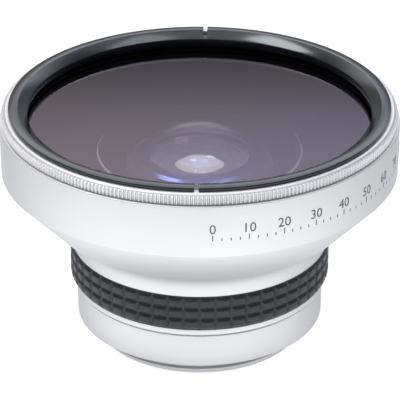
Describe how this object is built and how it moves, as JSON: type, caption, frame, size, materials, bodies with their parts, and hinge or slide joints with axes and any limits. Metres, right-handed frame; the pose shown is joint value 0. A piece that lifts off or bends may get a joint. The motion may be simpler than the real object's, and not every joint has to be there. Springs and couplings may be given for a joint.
{
  "type": "fisheye converter lens",
  "caption": "Screw-on fisheye converter lens: wide black-rimmed front glass in a knurled silver bell, ribbed rubber grip, rear section with a male mounting thread.",
  "frame": {"origin": "centre of the rear thread's end face, on the optical axis, where the lens stands on a table", "axes": "+Z along the optical axis towards the front glass; -Y is the side that faces the camera in the picture; +X to its right"},
  "size_m": [0.0684, 0.0684, 0.0432],
  "materials": {
    "silver_anodised": "satin",
    "black_anodised": "satin",
    "black_lacquered_metal": "matte",
    "coated_glass": "gloss",
    "inner_glass": "gloss",
    "grip_rubber": "matte",
    "gasket_rubber": "matte",
    "adhesive_tape": "matte",
    "slip_film": "matte"
  },
  "bodies": {
    "rear_section": {"thread_mount_ring": "silver_anodised", "base_barrel": "silver_anodised", "doublet_spacer_ring": "black_anodised", "doublet_front_element": "inner_glass", "doublet_rear_element": "inner_glass", "rear_retaining_ring": "black_anodised"},
    "washer": {"seam_washer": "slip_film"},
    "front_section": {"front_barrel": "silver_anodised", "grip_tape": "adhesive_tape", "rubber_grip": "grip_rubber", "knurled_front_ring": "silver_anodised", "front_retaining_ring": "black_anodised", "front_element": "coated_glass", "front_gasket": "gasket_rubber", "second_cell": "black_lacquered_metal", "second_retaining_ring": "black_anodised", "second_element": "inner_glass", "second_shim_ring": "black_anodised", "aperture_stop": "black_lacquered_metal", "neck_baffle": "black_lacquered_metal"}
  },
  "joints": [
    {"name": "section_advance", "type": "slide", "parent": "rear_section", "child": "washer", "axis": [0, 0, 1], "range_m": [0, 0.00226]},
    {"name": "section_turn", "type": "hinge", "parent": "washer", "child": "front_section", "pos_m": [0, 0, 0.0095], "axis": [0, 0, 1], "range_deg": [0, 1080]}
  ],
  "couplings": [
    {"joint": "section_advance", "follows": "section_turn", "m_per_rad": 0.00011937}
  ]
}
